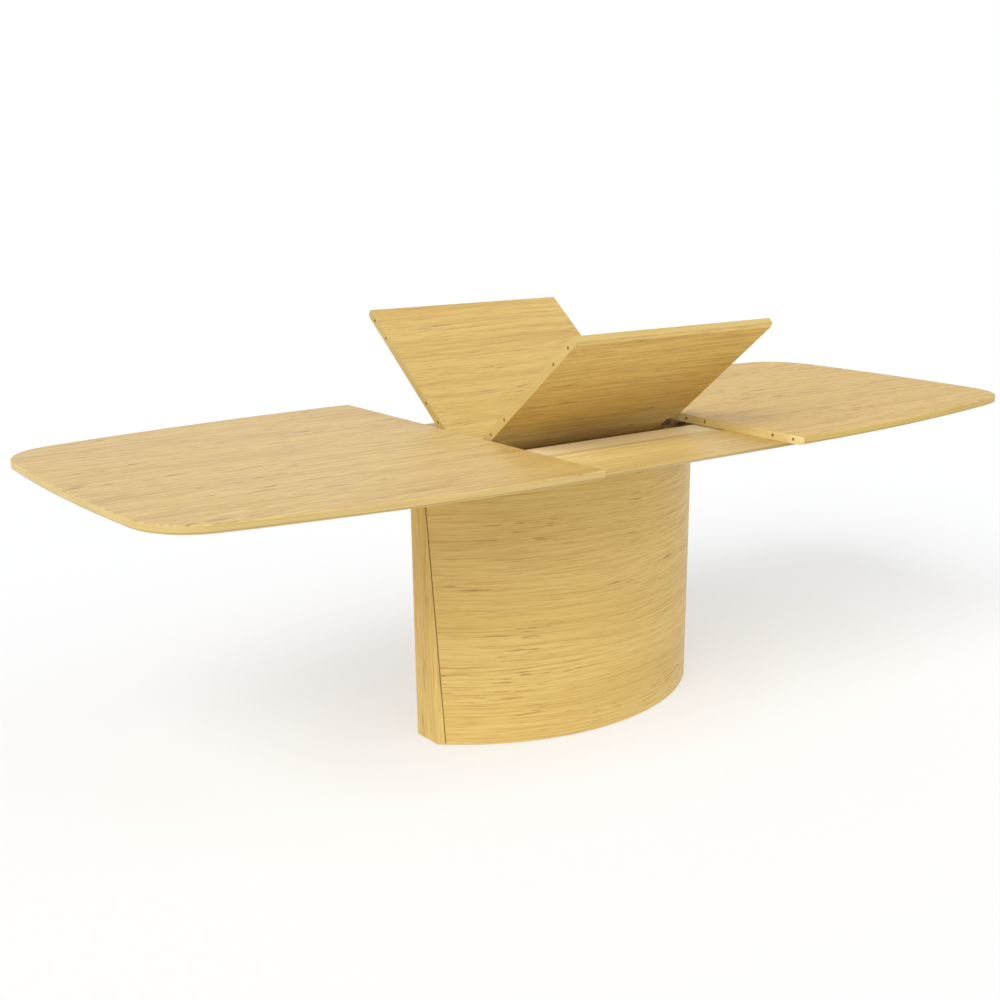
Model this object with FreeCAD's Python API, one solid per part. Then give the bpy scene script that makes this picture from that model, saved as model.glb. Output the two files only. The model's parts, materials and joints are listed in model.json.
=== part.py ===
import FreeCAD, Part
import math
import os

# Butterfly leaf dining table, in millimetres.
# X runs along the table, Y across it and Z up; the floor is Z = 0 under the centre of the pedestal.
# The two top halves are pulled apart and the folding leaf stands half open between them.

# ---- driving dimensions: overall -------------------------------------------------------------
table_height = 750.0
top_width = 1038.0
half_length = 971.0
half_gap = 306.0              # from the centre to each top half's inner edge, pulled fully apart

# ---- driving dimensions: tops and leaf -------------------------------------------------------
panel_thickness = 20.6
edge_height = 15.8            # upright part of the outer edge, above the underside bevel
bevel_width = 10.0
top_ease = 3.5                # rounding of the upper edge
ease_steps = 3
side_radius = 4700.0          # plan radius of the long edges
end_radius = 4245.0           # plan radius of the two ends
corner_radius = 147.0
leaf_end_gap = 6.5            # from each leaf end to the top half beside it
leaf_front_angle = 39.9       # slopes of the two leaf panels, half way open
leaf_back_angle = 38.6

# ---- driving dimensions: leaf pivot and leaf hinges ------------------------------------------
pivot_offset = 90.0           # pivot axis to the table's centre line
pivot_drop = 5.0              # pivot axis below the panels' underside
pivot_pin_radius = 3.0
pivot_clearance = 0.06
swing_clearance = 1.0         # around the leaf's hinge edge as it swings under the top
pivot_ear_thickness = 5.0
pivot_ear_width = 18.0
pivot_ear_tip = 4.5           # from the pivot axis to the ear's free edge
pivot_ear_inset = 11.0        # ear's outer face to the leaf end
pivot_base_length = 17.0
pivot_base_width = 30.0
pivot_base_thickness = 3.0
pivot_plate_thickness = 5.0
pivot_plate_width = 24.0
pivot_plate_height = 28.0
pivot_plate_rise = 3.5        # top of the plate above the pivot axis
joint_half_gap = 0.3          # each panel's hinge edge to the centre line, lying flat
joint_chamfer = 0.8
hinge_pin_rise = 0.15         # hinge pin axis above the panels' top faces, so that they fold together
hinge_pin_radius = 0.8
hinge_knuckle_radius = 1.4
hinge_clearance = 0.05
hinge_recess = 0.35
hinge_length = 60.0
hinge_centre_length = 24.0
hinge_plate_thickness = 2.5
hinge_plate_height = 13.0
hinge_places = (-215.0, 0.0, 215.0)

# ---- driving dimensions: dowel pins ----------------------------------------------------------
dowel_inner = 130.0           # from the centre line to the nearest dowel
dowel_inner_pitch = 66.0
dowel_edge = 32.0             # from the long edge to the outermost dowel
dowel_edge_pitch = 64.0
dowel_radius = 4.0
dowel_clearance = 0.08
dowel_reach = 5.5
dowel_seat = 20.0
dowel_hole_depth = 14.0
dowel_tip = 1.5

# ---- driving dimensions: pedestal ------------------------------------------------------------
pedestal_drop = 84.4          # from the tops' underside to the shells' rim
pedestal_foot = 3.0
lens_radius = 617.0
lens_half_width = 200.5
pedestal_half_length = 411.0  # at the floor
end_lean_angle = 3.06         # outward lean of the end boards
shell_thickness = 12.0
end_board_thickness = 14.0
end_board_easing = 5.0
end_groove = 2.2
end_post_depth = 45.0
plate_thickness = 18.0
bottom_plate_height = 12.0
bulkhead_place = 160.0
bulkhead_thickness = 18.0
foot_radius = 20.0
foot_disc_height = 6.0
foot_stem_radius = 5.0
foot_stem_top = 46.0
foot_places = ((300.0, 55.0), (0.0, 150.0))
hole_clearance = 0.1

# ---- driving dimensions: sub-frame -----------------------------------------------------------
beam_inner = 330.0
beam_width = 70.0
beam_foot_half = 205.0
beam_front_setback = 140.0    # beam's ends and what they carry, from the tops' long edges
beam_front_tip = 12.0
beam_rear_setback = 79.0
beam_rear_tip = 29.0
board_setback = 44.0
board_thickness = 16.0
board_nose = 4.5
board_bevel = 30.0
board_half_length = 415.0
runner_width = 76.0
runner_depth = 50.3
runner_wall = 24.0
runner_lip = 27.0             # front runner's thin lip over the edge of the folded leaf
lip_clearance = 1.6           # under the lip
runner_plate = 30.3
runner_half_length = 640.0
runner_inset = 312.0          # inner end of each rear runner
glide_thickness = 2.0
glide_length = 60.0
glide_width = 24.0
glide_places = (350.0, 590.0)
glide_edge = 12.0             # from a runner's outer face
shelf_clearance = 1.9         # below the leaf folded away in its well
shelf_thickness = 16.0
shelf_front = 130.0
shelf_setback = 27.0
stow_clearance = 5.0          # behind the folded leaf
shelf_dado = 8.0
rest_block_inner = 262.0
rest_block_outer = 299.0
rest_block_length = 50.0
rest_block_clearance = 0.2    # below the leaf lying flat
bolt_radius = 4.0
bolt_head_radius = 7.5
bolt_head_height = 6.0
bolt_grip = 54.0              # from the top plate's upper face
bolt_places = ((352.0, 45.0), (374.0, 30.0))

# ---- driving dimensions: slides --------------------------------------------------------------
slide_steel = 3.0
slide_side_clearance = 1.0
slide_lift_clearance = 0.5
slide_flange = 38.0
slide_foot = 22.0
slide_foot_thickness = 3.5
slide_inset = 2.0
slide_length = 592.0
stop_pin_radius = 3.0
stop_pin_drop = 13.0
stop_block_length = 20.0
stop_block_width = 6.5
stop_block_height = 14.0
batten_place = 725.0          # from a top half's inner edge
batten_width = 50.0
batten_depth = 23.0
batten_setback = 189.0
batten_taper = 60.0

# ---- driving dimensions: synchroniser --------------------------------------------------------
gear_module = 1.5
pinion_teeth = 18
pressure_angle = 20.0
gear_backlash = 0.16
rack_height = 10.0
rack_back = 4.2
rack_tooth_count = 68
rack_tail = 70.0
rack_tail_rise = 0.5
axle_radius = 4.0
axle_clearance = 0.05
axle_head_radius = 8.0
axle_head_height = 5.0
axle_grip = 15.0
guide_half_length = 32.0
guide_floor = 5.0
guide_clearance = 0.4
guide_lip = 3.0
guide_gap = 0.3               # beside the front runner's wall

# ---- worked out from the driving dimensions --------------------------------------------------
underside = table_height - panel_thickness
half_width = top_width / 2
leaf_half_length = half_gap - leaf_end_gap
dowel_outer = half_width - dowel_edge
dowel_places = (dowel_inner, dowel_inner + dowel_inner_pitch, dowel_outer - dowel_edge_pitch, dowel_outer)
pivot_y = -pivot_offset
pivot_z = underside - pivot_drop
dowel_z = table_height - panel_thickness / 2
beam_outer = beam_inner + beam_width
runner_bottom = underside - runner_depth
runner_ledge = underside - runner_plate
runner_top = underside - glide_thickness
hinge_axis_z = table_height + hinge_pin_rise
hinge_reach = math.hypot(pivot_offset, hinge_axis_z - pivot_z)
swing_radius = hinge_reach + hinge_knuckle_radius + swing_clearance
runner_front = pivot_offset + swing_radius
plate_top = pivot_z - swing_radius
lip_edge = -runner_front + runner_lip
lip_bottom = 2 * pivot_z - underside + lip_clearance
pedestal_top = underside - pedestal_drop
end_lean = math.tan(math.radians(end_lean_angle))
folded_underside = 2 * pivot_z - hinge_axis_z - hinge_pin_rise - panel_thickness
shelf_height = folded_underside - shelf_clearance
shelf_rear = half_width - shelf_setback
runner_rear = half_width - 2 * pivot_offset + stow_clearance
board_reach = half_width - board_setback
beam_front_reach = half_width - beam_front_setback
beam_rear_reach = half_width - beam_rear_setback
batten_half_length = half_width - batten_setback
board_inner = runner_front + runner_width + slide_steel + 2 * slide_side_clearance
board_underside = underside - board_thickness
slide_foot_top = runner_ledge - slide_lift_clearance
slide_foot_bottom = slide_foot_top - slide_foot_thickness
rack_top = slide_foot_bottom - rack_tail_rise
rack_bottom = rack_top - rack_height
pitch_radius = gear_module * pinion_teeth / 2
tooth_pitch = math.pi * gear_module
addendum = gear_module
dedendum = 1.25 * gear_module
rack_outer = pitch_radius + dedendum + rack_back
guide_back = rack_outer + guide_clearance + guide_lip
gear_y = -runner_front - runner_wall - guide_gap - guide_back


# ---- plain helpers ---------------------------------------------------------------------------
def at(x, y, z):
    return FreeCAD.Vector(x, y, z)


def box(x_range, y_range, z_range):
    size = [span[1] - span[0] for span in (x_range, y_range, z_range)]
    return Part.makeBox(size[0], size[1], size[2], at(x_range[0], y_range[0], z_range[0]))


def prism_along_x(points, x_range):
    corners = [at(x_range[0], y, z) for y, z in points]
    face = Part.Face(Part.makePolygon(corners + corners[:1]))
    return face.extrude(at(x_range[1] - x_range[0], 0, 0))


def prism_along_y(points, y_range):
    corners = [at(x, y_range[0], z) for x, z in points]
    face = Part.Face(Part.makePolygon(corners + corners[:1]))
    return face.extrude(at(0, y_range[1] - y_range[0], 0))


def rod_along_x(y, z, radius, x_range):
    return Part.makeCylinder(radius, x_range[1] - x_range[0], at(x_range[0], y, z), at(1, 0, 0))


def rod_along_z(x, y, radius, z_range):
    return Part.makeCylinder(radius, z_range[1] - z_range[0], at(x, y, z_range[0]))


def other_end(shape):
    """The same piece at the other end of the table."""
    return shape.mirror(at(0, 0, 0), at(1, 0, 0))


def both_ends(shape):
    return [shape, other_end(shape)]


def group(shapes):
    return Part.makeCompound(list(shapes))


def cut_all(shape, tools):
    for tool in tools:
        shape = shape.cut(tool)
    return shape


def save(name, shape):
    shape.exportStep("parts/" + name + ".step")


# ---- tops ------------------------------------------------------------------------------------
def corner_centre():
    """Centre of the corner arc that touches the side arc and the end arc from inside."""
    side_y = half_width - side_radius
    end_x = half_length - end_radius
    to_side = side_radius - corner_radius
    to_end = end_radius - corner_radius
    span = math.hypot(end_x, side_y)
    along = (to_side ** 2 - to_end ** 2 + span ** 2) / (2 * span)
    off = math.sqrt(to_side ** 2 - along ** 2)
    ux = end_x / span
    uy = -side_y / span
    return ux * along + uy * off, side_y + uy * along - ux * off


def point_towards(centre, target, distance):
    span = math.hypot(target[0] - centre[0], target[1] - centre[1])
    share = distance / span
    return centre[0] + (target[0] - centre[0]) * share, centre[1] + (target[1] - centre[1]) * share


def top_outline(inset, z):
    """Plan of one top half, its inner edge on X = 0 and its rim moved inwards by inset."""
    side = (0.0, half_width - side_radius)
    end = (half_length - end_radius, 0.0)
    corner = corner_centre()
    start = (0.0, half_width - inset)
    side_touch = point_towards(side, corner, side_radius - inset)
    side_angle = math.atan2(side_touch[1] - side[1], side_touch[0] - side[0])
    mid_angle = (side_angle + math.pi / 2) / 2
    side_reach = side_radius - inset
    side_mid = (side_reach * math.cos(mid_angle), side[1] + side_reach * math.sin(mid_angle))
    end_touch = point_towards(end, corner, end_radius - inset)
    halfway = ((side_touch[0] + end_touch[0]) / 2, (side_touch[1] + end_touch[1]) / 2)
    corner_mid = point_towards(corner, halfway, corner_radius - inset)
    end_mid = (half_length - inset, 0.0)
    upper = [start, side_mid, side_touch, corner_mid, end_touch]
    path = upper + [end_mid] + [(x, -y) for x, y in reversed(upper)]
    points = [at(x, y, z) for x, y in path]
    edges = []
    for i in range(0, len(points) - 1, 2):
        edges.append(Part.Arc(points[i], points[i + 1], points[i + 2]).toShape())
    edges.append(Part.LineSegment(points[-1], points[0]).toShape())
    return Part.Wire(edges)


def dowel_rows():
    return [side * place for place in dowel_places for side in (1, -1)]


def eased_rim():
    """Inset and height of the points that round off the tops' upper edge."""
    points = []
    for step in range(ease_steps + 1):
        turn = math.radians(90 * step / ease_steps)
        points.append((top_ease * (1 - math.cos(turn)), table_height - top_ease * (1 - math.sin(turn))))
    return points


def top_half():
    """The right top half, with its underside bevel and the seats for the slides."""
    sections = [
        top_outline(bevel_width, underside),
        top_outline(0.0, table_height - edge_height),
    ]
    sections += [top_outline(inset, z) for inset, z in eased_rim()]
    slab = Part.makeLoft(sections, True, True)
    slab.translate(at(half_gap, 0, 0))
    return slab


def slide_range():
    return half_gap + slide_inset, half_gap + slide_inset + slide_length


def slide_seats():
    """Recesses for the slide flanges in the underside of the right top half."""
    seats = []
    for out, face in ((-1, -runner_front - runner_width), (1, runner_rear + runner_width)):
        inner = face + out * slide_side_clearance
        far = inner + out * slide_flange
        y_range = (min(inner, far), max(inner, far))
        seats.append(box(slide_range(), y_range, (underside, underside + slide_steel)))
    return seats


def left_top_panel():
    panel = other_end(cut_all(top_half(), slide_seats()))
    for y in dowel_rows():
        panel = panel.cut(rod_along_x(y, dowel_z, dowel_radius, (-half_gap - dowel_seat, -half_gap)))
    return panel


def right_top_panel():
    panel = cut_all(top_half(), slide_seats())
    hole_radius = dowel_radius + dowel_clearance
    for y in dowel_rows():
        panel = panel.cut(rod_along_x(y, dowel_z, hole_radius, (half_gap, half_gap + dowel_hole_depth)))
    return panel


def dowel(x_face, y):
    """A pin that stands out of a face towards +X, with a bevelled tip."""
    pin = rod_along_x(y, dowel_z, dowel_radius, (x_face - dowel_seat, x_face + dowel_reach))
    rim = [e for e in pin.Edges if e.Vertexes[0].X > x_face and e.Closed and len(e.Vertexes) == 1]
    return pin.makeChamfer(dowel_tip, rim)


def batten():
    """Cross batten that keeps a top half flat, under its outer part."""
    points = [
        (-batten_half_length, underside),
        (batten_half_length, underside),
        (batten_half_length, underside - batten_depth / 3),
        (batten_half_length - batten_taper, underside - batten_depth),
        (batten_taper - batten_half_length, underside - batten_depth),
        (-batten_half_length, underside - batten_depth / 3),
    ]
    x_inner = half_gap + batten_place - batten_width / 2
    return prism_along_x(points, (x_inner, x_inner + batten_width))


# ---- slides ----------------------------------------------------------------------------------
def slide(out, face):
    """Folded steel slide of the right half; out is the side on which its flange lies."""
    inner = face + out * slide_side_clearance
    outer = inner + out * slide_steel
    points = [
        (inner + out * slide_flange, underside),
        (inner + out * slide_flange, underside + slide_steel),
        (inner, underside + slide_steel),
        (inner, slide_foot_top),
        (inner - out * slide_foot, slide_foot_top),
        (inner - out * slide_foot, slide_foot_bottom),
        (outer, slide_foot_bottom),
        (outer, underside),
    ]
    return prism_along_x(points, slide_range())


def front_slide():
    return slide(-1, -runner_front - runner_width)


def rear_slide():
    return slide(1, runner_rear + runner_width)


def rack_arm():
    """Tab on the right front slide that reaches over to the far rack."""
    x_outer = half_gap + rack_reach()
    y_inner = -runner_front - runner_width - slide_side_clearance
    y_far = gear_y + rack_outer
    return box((x_outer - rack_tail, x_outer), (y_inner, y_far), (slide_foot_bottom, slide_foot_top))


def stop_pins():
    """Pins under the right slides' feet that meet the stop blocks when the table is fully open."""
    pins = []
    x = beam_inner - stop_pin_radius
    for y in stop_rows():
        pins.append(rod_along_z(x, y, stop_pin_radius, (slide_foot_bottom - stop_pin_drop, slide_foot_bottom)))
    return pins


def stop_rows():
    front = -runner_front - runner_width + stop_block_width / 2
    rear = runner_rear + runner_width - stop_block_width / 2
    return front, rear


def stop_blocks():
    blocks = []
    for y in stop_rows():
        y_range = (y - stop_block_width / 2, y + stop_block_width / 2)
        z_range = (runner_bottom, runner_bottom + stop_block_height)
        blocks.append(box((beam_inner, beam_inner + stop_block_length), y_range, z_range))
    return blocks


# ---- synchroniser ----------------------------------------------------------------------------
def rack_reach():
    """How far the plain tail of a rack reaches past its own top half's inner edge."""
    return rack_tooth_count * tooth_pitch - half_gap + rack_tail


def rack():
    """The front rack, fixed to the left half: teeth face +Y and a tooth space lies on X = 0."""
    pitch_line = gear_y - pitch_radius
    root = pitch_line - dedendum
    tip = pitch_line + addendum
    back = root - rack_back
    slope = math.tan(math.radians(pressure_angle))
    half_tooth = tooth_pitch / 4 - gear_backlash / 2
    tail_end = tooth_pitch - (rack_tooth_count + 0.0) * tooth_pitch - rack_tail
    points = [(tail_end, back), (tail_end, root)]
    for i in reversed(range(rack_tooth_count)):
        centre = (1.5 - i) * tooth_pitch
        points.append((centre - half_tooth - dedendum * slope, root))
        points.append((centre - half_tooth + addendum * slope, tip))
        points.append((centre + half_tooth - addendum * slope, tip))
        points.append((centre + half_tooth + dedendum * slope, root))
    points.append((2.5 * tooth_pitch, root))
    points.append((2.5 * tooth_pitch, back))
    corners = [at(x, y, rack_bottom) for x, y in points]
    bar = Part.Face(Part.makePolygon(corners + corners[:1])).extrude(at(0, 0, rack_height))
    tail = box((tail_end, tail_end + rack_tail - tooth_pitch), (back, root), (rack_bottom, slide_foot_bottom))
    return bar.fuse(tail).removeSplitter()


def far_rack():
    """The rack of the right half: the same bar turned half round about the pinion's axis."""
    turned = rack()
    turned.rotate(at(0, gear_y, 0), at(0, 0, 1), 180)
    return turned


def involute(angle):
    return math.tan(angle) - angle


def pinion():
    """Spur gear with involute flanks; one tooth points at each rack."""
    base = pitch_radius * math.cos(math.radians(pressure_angle))
    tip = pitch_radius + addendum
    root = pitch_radius - dedendum
    half_tooth = math.pi / (2 * pinion_teeth) - gear_backlash / (4 * pitch_radius)
    at_pitch = half_tooth + involute(math.radians(pressure_angle))
    steps = 5

    def polar(radius, angle):
        return at(radius * math.cos(angle), gear_y + radius * math.sin(angle), rack_bottom + addendum / 3)

    flank = []
    for i in range(steps):
        radius = base + (tip - base) * i / (steps - 1)
        flank.append((radius, at_pitch - involute(math.acos(min(1.0, base / radius)))))
    edges = []
    tooth_angle = 2 * math.pi / pinion_teeth
    for i in range(pinion_teeth):
        middle = math.pi / 2 + i * tooth_angle
        rising = Part.BSplineCurve()
        rising.interpolate([polar(r, middle - a) for r, a in flank])
        falling = Part.BSplineCurve()
        falling.interpolate([polar(r, middle + a) for r, a in reversed(flank)])
        foot_angle = flank[0][1]
        tip_angle = flank[-1][1]
        first = polar(root, middle - foot_angle)
        last = polar(root, middle + foot_angle)
        following = polar(root, middle + tooth_angle - foot_angle)
        valley = polar(root, middle + tooth_angle / 2)
        crest = [polar(tip, middle - tip_angle), polar(tip, middle), polar(tip, middle + tip_angle)]
        edges.append(Part.LineSegment(first, polar(base, middle - foot_angle)).toShape())
        edges.append(rising.toShape())
        edges.append(Part.Arc(crest[0], crest[1], crest[2]).toShape())
        edges.append(falling.toShape())
        edges.append(Part.LineSegment(polar(base, middle + foot_angle), last).toShape())
        edges.append(Part.Arc(last, valley, following).toShape())
    gear = Part.Face(Part.Wire(edges)).extrude(at(0, 0, rack_height - addendum))
    bore = rod_along_z(0, gear_y, axle_radius + axle_clearance, (rack_bottom, rack_top))
    return gear.cut(bore)


def rack_guide():
    """Trough that carries the racks beside the pinion, screwed under the front runner's wall."""
    floor_top = rack_bottom - guide_clearance
    floor_bottom = min(floor_top, runner_bottom) - guide_floor
    x_range = (-guide_half_length, guide_half_length)
    y_front = gear_y - guide_back
    y_back = gear_y + guide_back
    floor = box(x_range, (y_front, y_back), (floor_bottom, floor_top))
    flange = box(x_range, (y_back, -runner_front), (floor_bottom, runner_bottom))
    lips = [
        box(x_range, (y_front, y_front + guide_lip), (floor_top, rack_top)),
        box(x_range, (y_back - guide_lip, y_back), (floor_top, rack_top)),
    ]
    trough = floor.fuse([flange] + lips).removeSplitter()
    return trough.cut(rod_along_z(0, gear_y, axle_radius, (floor_bottom, floor_top)))


def guide_floor_bottom():
    return min(rack_bottom - guide_clearance, runner_bottom) - guide_floor


def pinion_axle():
    low = guide_floor_bottom()
    shank = rod_along_z(0, gear_y, axle_radius, (low, runner_ledge + axle_grip))
    head = rod_along_z(0, gear_y, axle_head_radius, (low - axle_head_height, low))
    return shank.fuse(head).removeSplitter()


# ---- sub-frame -------------------------------------------------------------------------------
def front_runner():
    outer = -runner_front - runner_width
    points = [
        (outer, runner_top),
        (lip_edge, runner_top),
        (lip_edge, lip_bottom),
        (-runner_front, lip_bottom),
        (-runner_front, runner_bottom),
        (-runner_front - runner_wall, runner_bottom),
        (-runner_front - runner_wall, runner_ledge),
        (outer, runner_ledge),
    ]
    runner = prism_along_x(points, (-runner_half_length, runner_half_length))
    return runner.cut(rod_along_z(0, gear_y, axle_radius, (runner_ledge, runner_ledge + axle_grip)))


def rear_runner():
    outer = runner_rear + runner_width
    points = [
        (runner_rear, runner_top),
        (outer, runner_top),
        (outer, runner_ledge),
        (runner_rear + runner_wall, runner_ledge),
        (runner_rear + runner_wall, runner_bottom),
        (runner_rear, runner_bottom),
    ]
    return prism_along_x(points, (runner_inset, runner_half_length))


def front_board():
    """Wide veneered board that carries the leaf's front panel when it lies flat."""
    points = [
        (-board_reach, underside),
        (-board_inner, underside),
        (-board_inner, board_underside),
        (-board_reach + board_bevel, board_underside),
        (-board_reach, underside - board_nose),
    ]
    return prism_along_x(points, (-board_half_length, board_half_length))


def rear_shelf():
    x_end = beam_inner + shelf_dado
    return box((-x_end, x_end), (shelf_front, shelf_rear), (shelf_height - shelf_thickness, shelf_height))


def bolt_spots():
    return [(x, side * y) for x, y in bolt_places for side in (1, -1)]


def cross_beam():
    """Cantilever beam across the right end of the pedestal."""
    shoulder = board_inner + slide_steel
    points = [
        (-beam_front_reach, board_underside - beam_front_tip),
        (-beam_front_reach, board_underside),
        (-shoulder, board_underside),
        (-shoulder, runner_bottom),
        (-runner_front, runner_bottom),
        (-runner_front, lip_bottom),
        (lip_edge, lip_bottom),
        (lip_edge, runner_top),
        (runner_rear, runner_top),
        (runner_rear, runner_bottom),
        (beam_rear_reach, runner_bottom),
        (beam_rear_reach, runner_bottom - beam_rear_tip),
        (beam_foot_half, pedestal_top),
        (-beam_foot_half, pedestal_top),
    ]
    beam = prism_along_x(points, (beam_inner, beam_outer)).cut(rear_shelf())
    for x, y in bolt_spots():
        beam = beam.cut(rod_along_z(x, y, bolt_radius, (pedestal_top, plate_top + bolt_grip)))
    hole_end = beam_inner + pivot_plate_thickness
    return beam.cut(rod_along_x(pivot_y, pivot_z, pivot_pin_radius, (beam_inner, hole_end)))


def frame_bolts():
    """Bolts from inside the pedestal's top plate up into a cross beam."""
    bolts = []
    low = plate_top - plate_thickness
    for x, y in bolt_spots():
        shank = rod_along_z(x, y, bolt_radius, (low, plate_top + bolt_grip))
        head = rod_along_z(x, y, bolt_head_radius, (low - bolt_head_height, low))
        bolts.append(shank.fuse(head).removeSplitter())
    return bolts


def leaf_rest_block():
    x_range = (rest_block_inner, rest_block_outer)
    y_range = (runner_rear + stow_clearance, runner_rear + stow_clearance + rest_block_length)
    return box(x_range, y_range, (shelf_height, underside - rest_block_clearance))


def glide_pads():
    """Low-friction pads on the runners, on which the top halves slide."""
    pads = []
    y_front = -runner_front - runner_width + glide_edge
    y_rear = runner_rear + runner_width - glide_edge
    for x in glide_places:
        x_range = (x - glide_length / 2, x + glide_length / 2)
        for y_range in ((y_front, y_front + glide_width), (y_rear - glide_width, y_rear)):
            pads.append(box(x_range, y_range, (runner_top, underside)))
    return pads


def pivot_plate():
    """Steel plate on the cross beam's inner face that holds a pivot pin."""
    x_range = (beam_inner - pivot_plate_thickness, beam_inner)
    y_range = (pivot_y - pivot_plate_width / 2, pivot_y + pivot_plate_width / 2)
    z_top = pivot_z + pivot_plate_rise
    plate = box(x_range, y_range, (z_top - pivot_plate_height, z_top))
    corners = [e for e in plate.Edges if abs(e.Vertexes[0].Z - e.Vertexes[1].Z) < 1e-6]
    lower = [e for e in corners if e.Vertexes[0].Z < pivot_z and abs(e.tangentAt(0).x) > 0.9]
    plate = plate.makeFillet(pivot_plate_width / 5, lower)
    return plate.cut(rod_along_x(pivot_y, pivot_z, pivot_pin_radius, x_range))


def pivot_pin():
    x_inner = leaf_half_length - pivot_ear_inset - pivot_ear_thickness
    return rod_along_x(pivot_y, pivot_z, pivot_pin_radius, (x_inner, beam_inner + pivot_plate_thickness))


# ---- pedestal --------------------------------------------------------------------------------
def lens_cylinder(inset, side):
    """Upright cylinder whose surface is the front (-1) or back (+1) face of the pedestal."""
    centre_y = -side * (lens_radius - lens_half_width)
    return rod_along_z(0, centre_y, lens_radius - inset, (pedestal_foot, pedestal_top))


def lens(inset):
    return lens_cylinder(inset, -1).common(lens_cylinder(inset, 1))


def end_face(inset, z):
    return pedestal_half_length + end_lean * z - inset


def leaning_block(outer_inset, inner_inset, z_range=None):
    """Slab at the right end between two insets from the leaning end face."""
    low, high = z_range or (pedestal_foot, pedestal_top)
    points = [
        (end_face(inner_inset, low), low),
        (end_face(outer_inset, low), low),
        (end_face(outer_inset, high), high),
        (end_face(inner_inset, high), high),
    ]
    return prism_along_y(points, (-lens_half_width, lens_half_width))


def between_ends(inset, z_range):
    """Block between the two leaning end faces moved inwards by inset."""
    low, high = z_range
    points = [
        (-end_face(inset, low), low),
        (end_face(inset, low), low),
        (end_face(inset, high), high),
        (-end_face(inset, high), high),
    ]
    return prism_along_y(points, (-lens_half_width, lens_half_width))


def shell(side):
    """Curved veneered shell, front (-1) or back (+1)."""
    skin = lens_cylinder(0.0, side).cut(lens_cylinder(shell_thickness, side))
    span = between_ends(end_board_thickness + end_groove, (pedestal_foot, pedestal_top))
    half = box((-lens_radius, lens_radius), (-lens_half_width, 0.0), (pedestal_foot, pedestal_top))
    if side > 0:
        half.translate(at(0, lens_half_width, 0))
    swing = rod_along_x(pivot_y, pivot_z, swing_radius, (-half_gap, half_gap))
    return skin.common(span).common(half).cut(swing)


def end_board():
    board = lens(0.0).common(leaning_block(0.0, end_board_thickness))
    upright = [e for e in board.Edges if abs(e.tangentAt(e.FirstParameter).z) > 0.9]
    outer = [e for e in upright if abs(e.Vertexes[0].X - end_face(0.0, e.Vertexes[0].Z)) < 0.01]
    return board.makeFillet(end_board_easing, outer)


def end_post():
    """Glued block behind the end board that joins both shells and backs the shadow groove."""
    z_range = (pedestal_foot, plate_top)
    inner = end_board_thickness + end_groove + end_post_depth
    return lens(shell_thickness).common(leaning_block(end_board_thickness, inner, z_range))


def bearer():
    """Block between the pedestal's top plate and a cross beam."""
    y_range = (-lens_half_width, lens_half_width)
    block = lens(shell_thickness).common(box((beam_inner, beam_outer), y_range, (plate_top, pedestal_top)))
    radius = bolt_radius + hole_clearance
    return cut_all(block, [rod_along_z(x, y, radius, (plate_top, pedestal_top)) for x, y in bolt_spots()])


def plate(z_low, holes):
    z_range = (z_low, z_low + plate_thickness)
    span = between_ends(end_board_thickness + end_groove + end_post_depth, z_range)
    board = lens(shell_thickness).common(span)
    return cut_all(board, [rod_along_z(x, y, radius, z_range) for x, y, radius in holes])


def foot_spots():
    spots = []
    for x, y in foot_places:
        for side_x in ((1, -1) if x > 0 else (1,)):
            for side_y in (1, -1):
                spots.append((side_x * x, side_y * y))
    return spots


def bottom_plate():
    radius = foot_stem_radius + hole_clearance
    return plate(bottom_plate_height, [(x, y, radius) for x, y in foot_spots()])


def top_plate():
    radius = bolt_radius + hole_clearance
    holes = [(side * x, y, radius) for x, y in bolt_spots() for side in (1, -1)]
    return plate(plate_top - plate_thickness, holes)


def bulkhead():
    x_range = (bulkhead_place - bulkhead_thickness / 2, bulkhead_place + bulkhead_thickness / 2)
    z_range = (bottom_plate_height + plate_thickness, plate_top - plate_thickness)
    return lens(shell_thickness).common(box(x_range, (-lens_half_width, lens_half_width), z_range))


def levelling_foot(x, y):
    disc = rod_along_z(x, y, foot_radius, (0.0, foot_disc_height))
    rim = [e for e in disc.Edges if e.Closed and e.Vertexes[0].Z > foot_disc_height / 2]
    disc = disc.makeChamfer(foot_disc_height / 3, rim)
    stem = rod_along_z(x, y, foot_stem_radius, (foot_disc_height, foot_stem_top))
    return disc.fuse(stem).removeSplitter()


# ---- leaf, drawn lying flat ------------------------------------------------------------------
def leaf_panel(side):
    """Leaf panel on the front (-1) or back (+1) side of the centre line."""
    points = [
        (joint_half_gap, underside),
        (half_width - bevel_width, underside),
        (half_width, table_height - edge_height),
    ]
    points += [(half_width - inset, z) for inset, z in eased_rim()]
    points += [
        (joint_half_gap + joint_chamfer, table_height),
        (joint_half_gap, table_height - joint_chamfer),
    ]
    panel = prism_along_x([(side * y, z) for y, z in points], (-leaf_half_length, leaf_half_length))
    hole_radius = dowel_radius + dowel_clearance
    for place in dowel_places:
        y = side * place
        panel = panel.cut(rod_along_x(y, dowel_z, hole_radius, (-leaf_half_length, dowel_hole_depth - leaf_half_length)))
        panel = panel.cut(rod_along_x(y, dowel_z, dowel_radius, (leaf_half_length - dowel_seat, leaf_half_length)))
    return cut_all(panel, [hinge_mortise(side, x) for x in hinge_places])


def leaf_dowels(side):
    return [dowel(leaf_half_length, side * place) for place in dowel_places]


def hinge_body_top():
    return hinge_axis_z - hinge_knuckle_radius - hinge_recess


def hinge_plate_bottom():
    return hinge_body_top() - hinge_plate_height


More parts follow.
